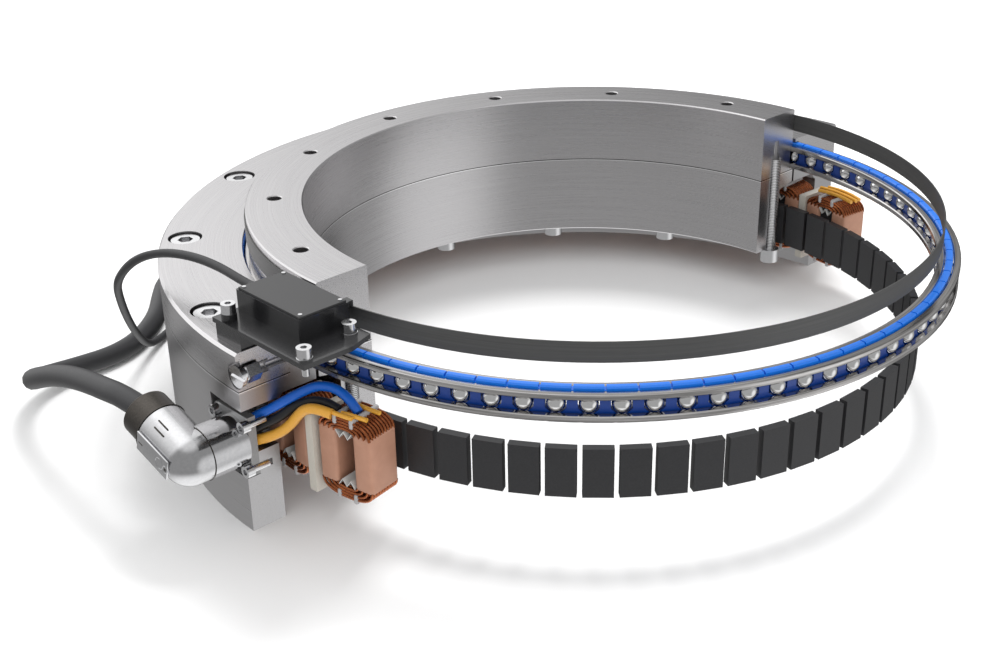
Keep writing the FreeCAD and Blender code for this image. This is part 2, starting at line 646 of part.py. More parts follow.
# Grease plug
def grease_plug():
    """A slotted disc on a neck and a hexagonal body that seats in the stepped bore."""
    disc_x = GREASE_SEAT_X - GREASE_DISC_GAP
    neck_x = disc_x + GREASE_NECK_L
    end_x = GREASE_SEAT_X + GREASE_PLUG_BORE_L
    face_x = disc_x - GREASE_DISC_T
    disc = cylinder(GREASE_DISC_D, GREASE_DISC_T, (face_x, 0, BALL_Z), X_AXIS)
    neck = cylinder(GREASE_NECK_D, GREASE_NECK_L, (disc_x, 0, BALL_Z), X_AXIS)
    body = placed(hexagon(GREASE_HEX, end_x - neck_x), (neck_x, 0, BALL_Z), X_AXIS)
    slot = block((face_x, -GREASE_DISC_D, BALL_Z - GREASE_SLOT_W / 2),
                 (face_x + GREASE_SLOT_DEPTH, GREASE_DISC_D, BALL_Z + GREASE_SLOT_W / 2))
    return disc.fuse([neck, body]).cut(slot)


# Power connector
def flange_screw_places():
    half = FLANGE_PITCH / 2
    return [(CONNECTOR_Y + y, CONNECTOR_Z + z) for y in (-half, half) for z in (-half, half)]


def connector_flange():
    """A square flange, cut by the same plane as the housing."""
    half = FLANGE_SIZE / 2
    body = block((FLANGE_FACE_X, CONNECTOR_Y - half, CONNECTOR_Z - half),
                 (FLANGE_BACK_X, CONNECTOR_Y + half, CONNECTOR_Z + half))
    corners = [e for e in body.Edges if abs(e.Vertexes[0].X - e.Vertexes[1].X) > FLANGE_T / 2]
    body = body.makeFillet(FLANGE_CORNER_R, corners)
    cutters = [block((FLANGE_FACE_X, CONNECTOR_Y - FLANGE_SIZE, 0), (FLANGE_BACK_X, 0, HOUSING_H))]
    cutters.append(cylinder(FLANGE_HOLE_D, FLANGE_T, (FLANGE_FACE_X, CONNECTOR_Y, CONNECTOR_Z), X_AXIS))
    for y, z in flange_screw_places():
        cutters.append(cylinder(plain_hole(FLANGE_SCREW_D), FLANGE_T, (FLANGE_FACE_X, y, z), X_AXIS))
    return body.cut(cutters)


def connector_screws():
    screw = cap_screw(FLANGE_SCREW_HEAD_D, FLANGE_SCREW_HEAD_H, FLANGE_SCREW_D, FLANGE_SCREW_L,
                      FLANGE_SCREW_KEY)
    return [placed(screw, (FLANGE_FACE_X, y, z), -X_AXIS) for y, z in flange_screw_places()]


def tube_body(diameter):
    start = (FLANGE_FACE_X - TUBE_L, CONNECTOR_Y, CONNECTOR_Z)
    return cylinder(diameter, TUBE_L, start, X_AXIS)


def connector_tube():
    """The straight tube between the flange and the elbow."""
    return tube_body(TUBE_D).cut(tube_body(FLANGE_HOLE_D))


def elbow_corner():
    return Vector(ELBOW_X, CONNECTOR_Y, CONNECTOR_Z)


def barrel_direction():
    tilt = math.radians(BARREL_TILT_DEG)
    return Vector(0, math.cos(tilt), math.sin(tilt))


def connector_elbow():
    """A round knee and a barrel, cut back where the straight tube meets the knee."""
    corner = elbow_corner()
    stub = Part.makeCylinder(BARREL_D / 2, ELBOW_REACH, corner, X_AXIS)
    knee = Part.makeSphere(BARREL_D / 2, corner)
    barrel = Part.makeCylinder(BARREL_D / 2, BARREL_L, corner, barrel_direction())
    return stub.fuse([knee, barrel]).cut(tube_body(TUBE_D))


def connector_nut():
    along = barrel_direction()
    start = elbow_corner() + along * BARREL_L
    end = start + along * NUT_L
    body = Part.makeCylinder(NUT_D / 2, NUT_L, start, along)
    rim = [e for e in body.Edges if (e.CenterOfMass - end).Length < NUT_CHAMFER]
    return body.makeChamfer(NUT_CHAMFER, rim)


# Read head
def head_foot():
    """The block that carries the plate, standing on the housing."""
    body = block((FOOT_LOW_X, FOOT_Y, HOUSING_H), (FOOT_HIGH_X, FOOT_Y + FOOT_L, PLATE_Z))
    tip_z = PLATE_TOP_Z + HEAD_BOSS_H - HEAD_SCREW_L - HEAD_TIP_ROOM
    hole = cylinder(plain_hole(HEAD_SCREW_D), PLATE_Z - tip_z, HEAD_BOSS_PLACE + (tip_z,))
    return body.cut(hole)


def head_screw_seats():
    """Each mounting screw's seat, with a washer or on the boss."""
    washer_top = PLATE_TOP_Z + HEAD_WASHER_T
    seats = [(x, y, washer_top) for x, y in HEAD_SCREW_PLACES]
    return seats + [HEAD_BOSS_PLACE + (PLATE_TOP_Z + HEAD_BOSS_H,)]


def head_plate():
    """A thin plate with one inner corner cut off and a boss at the back."""
    corner_x = PLATE_INNER_X - PLATE_CHAMFER_X
    outline = [
        (PLATE_OUTER_X, PLATE_FRONT_Y), (corner_x, PLATE_FRONT_Y),
        (PLATE_INNER_X, PLATE_FRONT_Y + PLATE_CHAMFER_Y), (PLATE_INNER_X, PLATE_BACK_Y),
        (PLATE_OUTER_X, PLATE_BACK_Y),
    ]
    points = [Vector(x, y, PLATE_Z) for x, y in outline]
    plate = Part.Face(Part.makePolygon(points + points[:1])).extrude(Vector(0, 0, PLATE_T))
    body = plate.fuse(cylinder(HEAD_WASHER_D, HEAD_BOSS_H, HEAD_BOSS_PLACE + (PLATE_TOP_Z,)))
    holes = []
    for x, y, z in head_screw_seats():
        holes.append(cylinder(plain_hole(HEAD_SCREW_D), z - PLATE_Z, (x, y, PLATE_Z)))
    return body.cut(holes)


def head_housing():
    body = block((HEAD_X, HEAD_Y, PLATE_TOP_Z), (HEAD_X + HEAD_W, HEAD_Y + HEAD_L, HEAD_TOP_Z - COVER_T))
    upright = [e for e in body.Edges if abs(e.Vertexes[0].Z - e.Vertexes[1].Z) > COVER_T]
    return body.makeFillet(HEAD_CORNER_R, upright)


def head_cover():
    inset = COVER_INSET
    return block((HEAD_X + inset, HEAD_Y + inset, HEAD_TOP_Z - COVER_T),
                 (HEAD_X + HEAD_W - inset, HEAD_Y + HEAD_L - inset, HEAD_TOP_Z))


def head_cover_screws():
    inset = COVER_SCREW_INSET
    places = [(x, y) for x in (HEAD_X + inset, HEAD_X + HEAD_W - inset)
              for y in (HEAD_Y + inset, HEAD_Y + HEAD_L - inset)]
    return [cylinder(COVER_SCREW_D, COVER_SCREW_H, (x, y, HEAD_TOP_Z)) for x, y in places]


def head_tab():
    """The small tab on the head's side that reaches over the tape."""
    low_x = HEAD_X + HEAD_W
    return block((low_x, TAB_Y, TAB_LOW_Z), (low_x + TAB_L, TAB_Y + TAB_W, TAB_LOW_Z + TAB_H))


def head_mount_screws():
    screw = cap_screw(HEAD_SCREW_HEAD_D, HEAD_SCREW_HEAD_H, HEAD_SCREW_D, HEAD_SCREW_L, HEAD_SCREW_KEY)
    return [placed(screw, seat) for seat in head_screw_seats()]


def head_washers():
    washers = []
    for x, y in HEAD_SCREW_PLACES:
        washer = cylinder(HEAD_WASHER_D, HEAD_WASHER_T, (x, y, PLATE_TOP_Z))
        washers.append(washer.cut(cylinder(plain_hole(HEAD_SCREW_D), HEAD_WASHER_T, (x, y, PLATE_TOP_Z))))
    return washers


def head_sleeve():
    """The tapered strain relief where the encoder cable leaves the head."""
    exit_point = Vector(ENCODER_EXIT_X, HEAD_Y + HEAD_L, ENCODER_EXIT_Z)
    return Part.makeCone(ENCODER_SLEEVE_D / 2, ENCODER_CABLE_D / 2, ENCODER_SLEEVE_L, exit_point, Y_AXIS)


# Cords
def cord_path(points):
    """Straight runs joined by tangent arcs, with the radius of each arc."""
    route = [Vector(*p) for p in points]
    start = route[0]
    edges = []
    radii = []
    for before, corner, after in zip(route, route[1:], route[2:]):
        back = before - corner
        ahead = after - corner
        half_turn = (math.pi - back.getAngle(ahead)) / 2
        cut = 0.45 * min(back.Length, ahead.Length)
        radius = cut / math.tan(half_turn)
        back.normalize()
        ahead.normalize()
        enter = corner + back * cut
        leave = corner + ahead * cut
        bisector = (back + ahead).normalize()
        middle = corner + bisector * (radius / math.cos(half_turn) - radius)
        edges.append(Part.LineSegment(start, enter).toShape())
        edges.append(Part.Arc(enter, middle, leave).toShape())
        radii.append(radius)
        start = leave
    edges.append(Part.LineSegment(start, route[-1]).toShape())
    return Part.Wire(edges), radii


def cord(name, points, diameter):
    """A round cord along its route. It prints its radii and its volume against the ideal."""
    path, radii = cord_path(points)
    heading = Vector(*points[1]) - Vector(*points[0])
    section = Part.Wire(Part.makeCircle(diameter / 2, Vector(*points[0]), heading))
    solid = path.makePipeShell([section], True, True)
    ideal = math.pi * diameter ** 2 / 4 * path.Length
    print(name, "length", round(path.Length, 1), "radii in diameters",
          [round(r / diameter, 1) for r in radii], "volume ratio", round(solid.Volume / ideal, 4))
    return solid


def power_points():
    """The power cable's route, starting at the nut."""
    start = elbow_corner() + barrel_direction() * (BARREL_L + NUT_L)
    return [tuple(start)] + POWER_ROUTE


def encoder_points():
    """The encoder cable's route, starting at its sleeve."""
    return [(ENCODER_EXIT_X, HEAD_Y + HEAD_L + ENCODER_SLEEVE_L, ENCODER_EXIT_Z)] + ENCODER_ROUTE


def cord_coil(centre, mean_r, wide, high, cord_d):
    """The outer shape of a tied coil that lies on the floor."""
    half = wide * cord_d / 2
    low_z = FLOOR_GAP
    top_z = low_z + high * cord_d
    edge = cord_d / 3
    body = ring([
        (mean_r - half + edge, low_z), (mean_r + half - edge, low_z), (mean_r + half, low_z + edge),
        (mean_r + half, top_z - edge), (mean_r + half - edge, top_z),
        (mean_r - half + edge, top_z), (mean_r - half, top_z - edge), (mean_r - half, low_z + edge),
    ])
    body.translate(Vector(centre[0], centre[1], 0))
    return body


def plug(centre, mean_r, cord_d, high, diameter, length):
    """A round plug with a slimmer back, resting on the near side of its coil."""
    top_z = FLOOR_GAP + high * cord_d
    front_l = length * PLUG_FRONT_SHARE
    start = Vector(centre[0] - length / 2, centre[1] - mean_r, top_z + diameter / 2)
    front = Part.makeCylinder(diameter / 2, front_l, start, X_AXIS)
    back = Part.makeCylinder(diameter * PLUG_STEP / 2, length - front_l, start + X_AXIS * front_l, X_AXIS)
    return front.fuse(back)


def export(name, shape):
    solids = shape if isinstance(shape, list) else [shape]
    whole = solids[0] if len(solids) == 1 else Part.makeCompound(solids)
    whole.exportStep("parts/" + name + ".step")


def main():
    os.makedirs("parts", exist_ok=True)
    last = COIL_COUNT - 1
    open_places = (0, 1, last - 1, last)
    pieces = {
        "inner_ring_upper": inner_ring_upper(),
        "inner_ring_lower": inner_ring_lower(),
        "rotor_bolts": rotor_bolts(),
        "inner_wire_upper": race_wire(WIRE_IN_R, WIRE_HIGH_Z),
        "inner_wire_lower": race_wire(WIRE_IN_R, WIRE_LOW_Z),
        "encoder_tape": encoder_tape(),
        "rotor_magnets": rotor_magnets(),
        "ball_cage": ball_cage(),
        "bearing_balls": bearing_balls(),
        "outer_ring_upper": outer_ring_upper(),
        "outer_ring_lower": outer_ring_lower(),
        "housing_screws": housing_screws(),
        "outer_wire_upper": race_wire(WIRE_OUT_R, WIRE_HIGH_Z),
        "outer_wire_lower": race_wire(WIRE_OUT_R, WIRE_LOW_Z),
        "stator_core": stator_core(),
        "stator_coils": [coil(place) for place in range(2, COIL_COUNT - 2)],
        "end_coil_b2": coil(0),
        "end_coil_b1": coil(1),
        "end_coil_a1": coil(last - 1),
        "end_coil_a2": coil(last),
        "slot_post_b": slot_post(0.5),
        "slot_post_a": slot_post(last - 0.5),
        "slot_liners": slot_liners(open_places),
        "grease_plug": grease_plug(),
        "connector_flange": connector_flange(),
        "connector_screws": connector_screws(),
        "connector_tube": connector_tube(),
        "connector_elbow": connector_elbow(),
        "connector_nut": connector_nut(),
        "lead_blue": cord("lead_blue", LEAD_BLUE, LEAD_D),
        "lead_black": cord("lead_black", LEAD_BLACK, LEAD_D),
        "lead_yellow": cord("lead_yellow", LEAD_YELLOW, LEAD_YELLOW_D),
        "winding_leads_a": [cord("winding_leads_a", p, WINDING_LEAD_D) for p in WINDING_LEADS_A],
        "winding_leads_b": [cord("winding_leads_b", p, WINDING_LEAD_D) for p in WINDING_LEADS_B],
        "head_foot": head_foot(),
        "head_plate": head_plate(),
        "head_housing": head_housing(),
        "head_cover": head_cover(),
        "head_cover_screws": head_cover_screws(),
        "head_tab": head_tab(),
        "head_mount_screws": head_mount_screws(),
        "head_washers": head_washers(),
        "head_sleeve": head_sleeve(),
        "power_cable": cord("power_cable", power_points(), POWER_CABLE_D),
        "encoder_cable": cord("encoder_cable", encoder_points(), ENCODER_CABLE_D),
        "power_cable_coil": cord_coil(POWER_COIL_CENTRE, POWER_COIL_R, POWER_COIL_WIDE,
                                      POWER_COIL_HIGH, POWER_CABLE_D),
        "encoder_cable_coil": cord_coil(ENCODER_COIL_CENTRE, ENCODER_COIL_R, ENCODER_COIL_WIDE,
                                        ENCODER_COIL_HIGH, ENCODER_CABLE_D),
        "power_plug": plug(POWER_COIL_CENTRE, POWER_COIL_R, POWER_CABLE_D, POWER_COIL_HIGH,
                           POWER_PLUG_D, POWER_PLUG_L),
        "encoder_plug": plug(ENCODER_COIL_CENTRE, ENCODER_COIL_R, ENCODER_CABLE_D, ENCODER_COIL_HIGH,
                             ENCODER_PLUG_D, ENCODER_PLUG_L),
    }
    for name, shape in pieces.items():
        export(name, shape)


main()
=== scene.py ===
"""The looks of the cut-open frameless motor: finishes, cables, coils and balls.

Metres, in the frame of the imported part: +Z up along the axis of rotation.
"""

import json
import math

import bpy
from mathutils import Matrix, Vector


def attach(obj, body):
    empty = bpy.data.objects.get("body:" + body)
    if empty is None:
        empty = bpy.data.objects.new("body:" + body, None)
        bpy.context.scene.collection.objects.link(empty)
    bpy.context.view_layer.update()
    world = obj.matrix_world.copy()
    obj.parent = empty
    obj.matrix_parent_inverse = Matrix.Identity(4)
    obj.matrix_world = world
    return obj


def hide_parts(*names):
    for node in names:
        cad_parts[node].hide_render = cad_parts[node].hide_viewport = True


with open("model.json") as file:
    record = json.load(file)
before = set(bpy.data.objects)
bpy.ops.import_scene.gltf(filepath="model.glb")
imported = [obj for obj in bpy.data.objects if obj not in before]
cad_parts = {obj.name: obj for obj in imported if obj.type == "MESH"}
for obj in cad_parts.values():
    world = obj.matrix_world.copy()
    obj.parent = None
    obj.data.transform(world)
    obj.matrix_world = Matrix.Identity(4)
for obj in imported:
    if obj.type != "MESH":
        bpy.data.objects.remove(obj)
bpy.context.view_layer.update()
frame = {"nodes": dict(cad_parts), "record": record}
nodes = frame["nodes"]
MM = 0.001

# The photograph's view
CAMERA_PLACE = Vector((-0.48685, -0.45400, 0.34663))
CAMERA_HEADING = Vector((0.61411, 0.65685, -0.43751))
CAMERA_ROLL = math.radians(-1.07966)
CAMERA_LENS = 51.72
CAMERA_SENSOR_WIDTH = 36.0
CAMERA_NEAR = 0.01

# Studio floor
FLOOR_SIZE = 30.0
FLOOR_COLOUR = (0.86, 0.86, 0.86)
FLOOR_ROUGH = 0.6

# Lamps: place, point they aim at, width and depth in metres, and power in watts
LAMPS = {
    "key": ((0.85, 0.62, 1.85), (0, 0, 0), (0.7, 0.7), 34.0),
    "front fill": ((-0.6, -1.5, 1.1), (0, 0, 0.05), (1.2, 0.8), 5.0),
}

# Surroundings: azimuth, elevation, inner and outer reach in degrees, and strength of each side
SKY_LEVEL = 1.08
REFLECTION_LEVEL = 0.40
REFLECTED_SIDES = [
    (98.0, 35.0, 10.0, 58.0, 1.2), (-66.0, -16.0, 4.0, 36.0, 0.55), (38.0, -22.0, 12.0, 50.0, -0.38),
    (0.0, 90.0, 10.0, 45.0, 0.6), (0.0, -90.0, 15.0, 58.0, 1.0),
]

# Bearing balls
BALL_PITCH_R = 171.5 * MM
BALL_Z = 75.3 * MM
BALL_R = 4.0 * MM
BALL_ROUNDNESS = 3
BALL_COUNT = 84
BALL_START_DEG = 0.27

# Shades by height: the rotor's dark seam with a painted highlight on its lower edge, painted shade on the
# cage's pockets, and the bolt heads
ROTOR_SEAM_Z = 67.6 * MM
SEAM_HALF = 0.22 * MM
# Heights of the painted highlight along the seam's lower edge, then the seam's colour and the highlight's
# colour
SEAM_HIGHLIGHT_LOW = 3.2 * SEAM_HALF
SEAM_HIGHLIGHT_HIGH = 1.2 * SEAM_HALF
SEAM_SHADE = (0.02, 0.02, 0.02)
SEAM_PAINTED_HIGHLIGHT = (0.95, 0.95, 0.95)
CAGE_RIM_Z = 79.6 * MM
# Painted shade on the cage below its rim, round the pockets
POCKET_PAINTED_SHADE = (0.002, 0.035, 0.22)
BOLT_HEAD_TOP_Z = 24.2 * MM

# Open coils
COIL_START_DEG = -8.95
COIL_PITCH_DEG = 11.7
COIL_PLACES = {"end_coil_b2": 0, "end_coil_b1": 1, "end_coil_a1": 16, "end_coil_a2": 17}
COIL_INNER_R = 168.2 * MM
COIL_DEPTH = 16.8 * MM
COIL_MIDDLE_Z = 37.5 * MM
LEG_HEIGHT = 27.0 * MM
LEG_WIDTH = 10.0 * MM
LEG_MIDDLE = 9.6 * MM
LEG_ROUNDING = 1.6 * MM
WINDOW_SHEET_DEPTH = 2.2 * MM
WINDOW_SHEET_THICK = 1.2 * MM
WINDOW_SHEET_WIDE = 9.2 * MM
WINDOW_SHEET_ROUNDING = 0.3 * MM
TIE_BAND_Y = 4.6 * MM
TIE_BAND_RISE = 4.6 * MM
TIE_BAND_SIZE = (COIL_DEPTH + 1.0 * MM, 2.2 * MM, 4.6 * MM)
TIE_BAND_ROUNDING = 1.0 * MM
WIRE_THICKNESS = 1.35 * MM
WIRE_LAYERS = 4
WIRE_ROWS = 10
FIRST_WIRE_Y = 5.6 * MM
WIRE_LAYER_STEP = 2.7 * MM
WIRE_RISE = 0.9 * MM
WIRE_RISE_STEP = 1.45 * MM
WIRE_FOOT_SINK = 1.0 * MM

# The golden lead, its route in mm
YELLOW_LEAD_DIAMETER = 4.6 * MM
YELLOW_LEAD_ROUTE = [
    (-203.4, 6.0, 39.4), (-199.2, 1.5, 41.0), (-194.4, -3.8, 44.0), (-190.8, -7.4, 48.2),
    (-189.4, -10.6, 53.0), (-188.2, -14.2, 57.0), (-186.0, -20.0, 58.9), (-183.2, -26.5, 57.4),
]

# Power connector
KNEE_PLACE = Vector((-230.0, 10.75, 40.5)) * MM
KNEE_REACH = 5.0 * MM
KNEE_SEAM_BEAD = 0.16 * MM
BARREL_TILT_DEG = 16.0
BARREL_R = 12.0 * MM
BARREL_SEAM = 21.9 * MM
BARREL_SEAM_BEAD = 0.2 * MM

# Its flat panel, holes and marks, along +Y from the knee: middle, size and rounding in mm
PANEL = ((-11.9, 9.5, 0.0), (1.0, 23.0, 10.0), 0.45)
HOLES = [((-12.35, 4.0, 0.0), 2.6), ((-12.35, -0.5, 0.0), 1.7)]
HOLE_RIM = 0.18
MARKS = [
    ((-12.32, -0.5, 0.0), (0.5, 1.5, 1.5), 0.2), ((-12.25, 18.0, 0.0), (0.5, 3.0, 0.5), 0.1),
    ((-7.6, 12.0, 9.1), (0.6, 7.0, 0.6), 0.1), ((-5.0, 13.0, 10.8), (0.6, 7.0, 0.6), 0.1),
]
QUARTER_TURN = math.radians(90)

# Cables, with the routes of the part's source in mm
POWER_DIAMETER_MM = 10.6
POWER_ROUTE = [
    (-230.0, 44.4, 50.1), (-231.0, 60.0, 51.5), (-231.0, 75.0, 49.0), (-230.5, 91.0, 46.3),
    (-229.8, 109.5, 42.0), (-229.3, 128.0, 36.0), (-229.5, 145.5, 28.5), (-227.3, 161.0, 20.6),
    (-220.0, 174.0, 13.5), (-207.5, 182.0, 8.6), (-190.0, 185.0, 5.8), (-172.0, 184.2, 5.4),
    (-156.0, 189.0, 5.4), (-141.5, 199.0, 5.4), (-127.5, 212.0, 5.4), (-116.0, 228.0, 5.4),
    (-102.0, 246.0, 5.4), (-82.0, 261.0, 5.4), (-56.0, 270.0, 5.4), (-26.0, 275.0, 5.4),
    (8.0, 270.0, 5.4), (40.0, 251.0, 5.4), (72.0, 224.0, 5.4),
]
POWER_COIL_CENTRE = (130.5, 245.5)
POWER_COIL_R = 53.0
POWER_COIL_WIDE = 2
POWER_COIL_START_DEG = 232.0
POWER_COIL_FREE_POINTS = 4
POWER_END = [(82.8, 245.5, 19.0), (86.0, 225.0, 26.5), (93.5, 205.0, 32.0), (100.5, 195.5, 33.3),
             (108.5, 192.5, 33.3)]
ENCODER_DIAMETER_MM = 4.0
ENCODER_ROUTE = [
    (-183.6, 24.5, 100.0), (-183.5, 34.0, 100.4), (-183.0, 48.0, 101.0), (-184.0, 64.0, 101.0),
    (-186.5, 80.0, 99.5), (-190.5, 91.0, 97.2), (-195.5, 98.0, 94.0), (-199.5, 103.5, 88.5),
    (-200.0, 112.0, 79.0), (-194.0, 123.0, 66.0), (-182.5, 141.0, 46.0), (-168.5, 160.0, 25.0),
    (-154.5, 176.0, 8.5), (-141.0, 188.0, 3.2), (-124.0, 199.0, 2.3), (-104.0, 207.5, 2.3),
    (-82.0, 211.5, 2.3), (-58.0, 213.5, 2.3),
]
ENCODER_COIL_CENTRE = (-41.7, 236.4)
ENCODER_COIL_R = 22.0
ENCODER_COIL_WIDE = 3
ENCODER_COIL_START_DEG = 268.0
ENCODER_COIL_FREE_POINTS = 6
ENCODER_END = [(-59.0, 245.5, 8.0), (-64.0, 234.0, 11.5), (-67.0, 222.5, 14.2), (-64.0, 216.0, 14.6),
               (-57.7, 214.4, 14.6)]

# Ties of the two tied coils: inner radius, outer radius and height of the turns, places and width
POWER_COIL_EDGES = (42.4 * MM, 63.6 * MM, 21.2 * MM)
POWER_TIE_DEG = (20, 110)
POWER_TIE_WIDTH = 9.0 * MM
ENCODER_COIL_EDGES = (16.0 * MM, 28.0 * MM, 8.1 * MM)
ENCODER_TIE_DEG = (10, 95)
ENCODER_TIE_WIDTH = 5.0 * MM
TIE_CORNER = 1.2 * MM
TIE_PLAY = 1.0 * MM

# Turns of the two tied coils: layers, points on a turn, its level part and the floor gap in mm
COIL_HIGH = 2
POINTS_PER_TURN = 16
LEVEL_SHARE = 0.6
FLOOR_GAP = 0.1

# Smoothness: the angle up to which an edge is shaded away, and steps round and along what is curved
SMOOTH_BELOW = math.radians(35)
CABLE_STEPS = (4, 8)
WIRE_STEPS = (1, 5)
BEAD_STEPS = (8, 48)
SPLINE_ORDER = 3

# Fine surface marks: inputs with their defaults, outputs, and how deep the marks go
MARK_INPUTS = {"Lines": 900.0, "Depth": 0.1}
MARK_OUTPUTS = {"Streaks": "NodeSocketFloat", "Normal": "NodeSocketVector"}
MARK_RELIEF = 0.2 * MM
THREAD_RELIEF = 0.6 * MM


# Shader building
def add_node(tree, kind, settings=None, values=None):
    """A new node with its settings, and its inputs by name or number."""
    node = tree.nodes.new(kind)
    for name, value in (settings or {}).items():
        setattr(node, name, value)
    for name, value in (values or {}).items():
        node.inputs[name].default_value = value
    return node


def new_group(name, inputs, outputs):
    """A shader group with float inputs and their defaults, and outputs by socket type."""
    group = bpy.data.node_groups.new(name, "ShaderNodeTree")
    for label, default in inputs.items():
        socket = group.interface.new_socket(label, in_out="INPUT", socket_type="NodeSocketFloat")
        socket.default_value = default
    for label, kind in outputs.items():
        group.interface.new_socket(label, in_out="OUTPUT", socket_type=kind)
    return group, group.nodes.new("NodeGroupInput"), group.nodes.new("NodeGroupOutput")


def turned_coordinates(group):
    """Object coordinates as angle, radius and height about the axis of rotation."""
    place = add_node(group, "ShaderNodeTexCoord")
    split = add_node(group, "ShaderNodeSeparateXYZ")
    group.links.new(place.outputs["Object"], split.inputs[0])
    angle = add_node(group, "ShaderNodeMath", {"operation": "ARCTAN2"})
    group.links.new(split.outputs["Y"], angle.inputs[0])
    group.links.new(split.outputs["X"], angle.inputs[1])
    flat = add_node(group, "ShaderNodeCombineXYZ")
    group.links.new(split.outputs["X"], flat.inputs["X"])
    group.links.new(split.outputs["Y"], flat.inputs["Y"])
    radius = add_node(group, "ShaderNodeVectorMath", {"operation": "LENGTH"})
    group.links.new(flat.outputs[0], radius.inputs[0])
    turned = add_node(group, "ShaderNodeCombineXYZ")
    group.links.new(angle.outputs[0], turned.inputs["X"])
    group.links.new(radius.outputs["Value"], turned.inputs["Y"])
    group.links.new(split.outputs["Z"], turned.inputs["Z"])
    return turned.outputs[0]


def turned_brushing():
    """Fine tool lines that run round the axis, as streaks and as a bump."""
    group, given, out = new_group("turned brushing", MARK_INPUTS, MARK_OUTPUTS)
    stretch = add_node(group, "ShaderNodeCombineXYZ", None, {"X": 2.0})
    group.links.new(given.outputs["Lines"], stretch.inputs["Y"])
    group.links.new(given.outputs["Lines"], stretch.inputs["Z"])
    scaled = add_node(group, "ShaderNodeVectorMath", {"operation": "MULTIPLY"})
    group.links.new(turned_coordinates(group), scaled.inputs[0])
    group.links.new(stretch.outputs[0], scaled.inputs[1])
    lines = add_node(group, "ShaderNodeTexNoise", None, {"Scale": 1.0, "Detail": 4.0, "Roughness": 0.7})
    group.links.new(scaled.outputs[0], lines.inputs["Vector"])
    bump = add_node(group, "ShaderNodeBump", None, {"Distance": MARK_RELIEF})
    group.links.new(given.outputs["Depth"], bump.inputs["Strength"])
    group.links.new(lines.outputs["Fac"], bump.inputs["Height"])
    spread = add_node(group, "ShaderNodeMapRange", None, {"From Min": 0.25, "From Max": 0.75})
    group.links.new(lines.outputs["Fac"], spread.inputs["Value"])
    group.links.new(spread.outputs[0], out.inputs["Streaks"])
    group.links.new(bump.outputs[0], out.inputs["Normal"])
    return group


def fine_grain():
    """Small even grain, as on cast, moulded and painted surfaces."""
    group, given, out = new_group("fine grain", MARK_INPUTS, MARK_OUTPUTS)
    place = add_node(group, "ShaderNodeTexCoord")
    grain = add_node(group, "ShaderNodeTexNoise", None, {"Detail": 3.0})
    group.links.new(place.outputs["Object"], grain.inputs["Vector"])
    group.links.new(given.outputs["Lines"], grain.inputs["Scale"])
    bump = add_node(group, "ShaderNodeBump", None, {"Distance": MARK_RELIEF})
    group.links.new(given.outputs["Depth"], bump.inputs["Strength"])
    group.links.new(grain.outputs["Fac"], bump.inputs["Height"])
    group.links.new(grain.outputs["Fac"], out.inputs["Streaks"])
    group.links.new(bump.outputs[0], out.inputs["Normal"])
    return group


def thread_lines():
    """Screw threads or sheet edges as even rings along Z, above the height where they start."""
    group, given, out = new_group("thread lines", {**MARK_INPUTS, "Start": 0.0}, MARK_OUTPUTS)
    place = add_node(group, "ShaderNodeTexCoord")
    rings = add_node(group, "ShaderNodeTexWave", {"bands_direction": "Z"})
    group.links.new(place.outputs["Object"], rings.inputs["Vector"])
    group.links.new(given.outputs["Lines"], rings.inputs["Scale"])
    height = add_node(group, "ShaderNodeSeparateXYZ")
    group.links.new(place.outputs["Object"], height.inputs[0])
    cut = add_node(group, "ShaderNodeMath", {"operation": "GREATER_THAN"})
    group.links.new(height.outputs["Z"], cut.inputs[0])
    group.links.new(given.outputs["Start"], cut.inputs[1])
    ridges = add_node(group, "ShaderNodeMix", {"data_type": "FLOAT"})
    ridges.inputs[2].default_value = 1.0
    group.links.new(cut.outputs[0], ridges.inputs[0])
    group.links.new(rings.outputs["Fac"], ridges.inputs[3])
    bump = add_node(group, "ShaderNodeBump", None, {"Distance": THREAD_RELIEF})
    group.links.new(given.outputs["Depth"], bump.inputs["Strength"])
    group.links.new(ridges.outputs[0], bump.inputs["Height"])
    group.links.new(ridges.outputs[0], out.inputs["Streaks"])
    group.links.new(bump.outputs[0], out.inputs["Normal"])
    return group


def height_band():
    """A mask that is one between two heights, used for a dark seam, a painted highlight and a band of
    painted shade.
    """
    group, given, out = new_group("height band", {"Low": 0.0, "High": 0.001}, {"Mask": "NodeSocketFloat"})
    place = add_node(group, "ShaderNodeTexCoord")
    height = add_node(group, "ShaderNodeSeparateXYZ")
    group.links.new(place.outputs["Object"], height.inputs[0])
    above = add_node(group, "ShaderNodeMath", {"operation": "GREATER_THAN"})
    group.links.new(height.outputs["Z"], above.inputs[0])
    group.links.new(given.outputs["Low"], above.inputs[1])
    below = add_node(group, "ShaderNodeMath", {"operation": "LESS_THAN"})
    group.links.new(height.outputs["Z"], below.inputs[0])
    group.links.new(given.outputs["High"], below.inputs[1])
    both = add_node(group, "ShaderNodeMath", {"operation": "MULTIPLY"})
    group.links.new(above.outputs[0], both.inputs[0])
    group.links.new(below.outputs[0], both.inputs[1])
    group.links.new(both.outputs[0], out.inputs["Mask"])
    return group


# Shared shader groups
BAND = height_band()
BRUSHING = turned_brushing()
GRAIN = fine_grain()
THREAD = thread_lines()


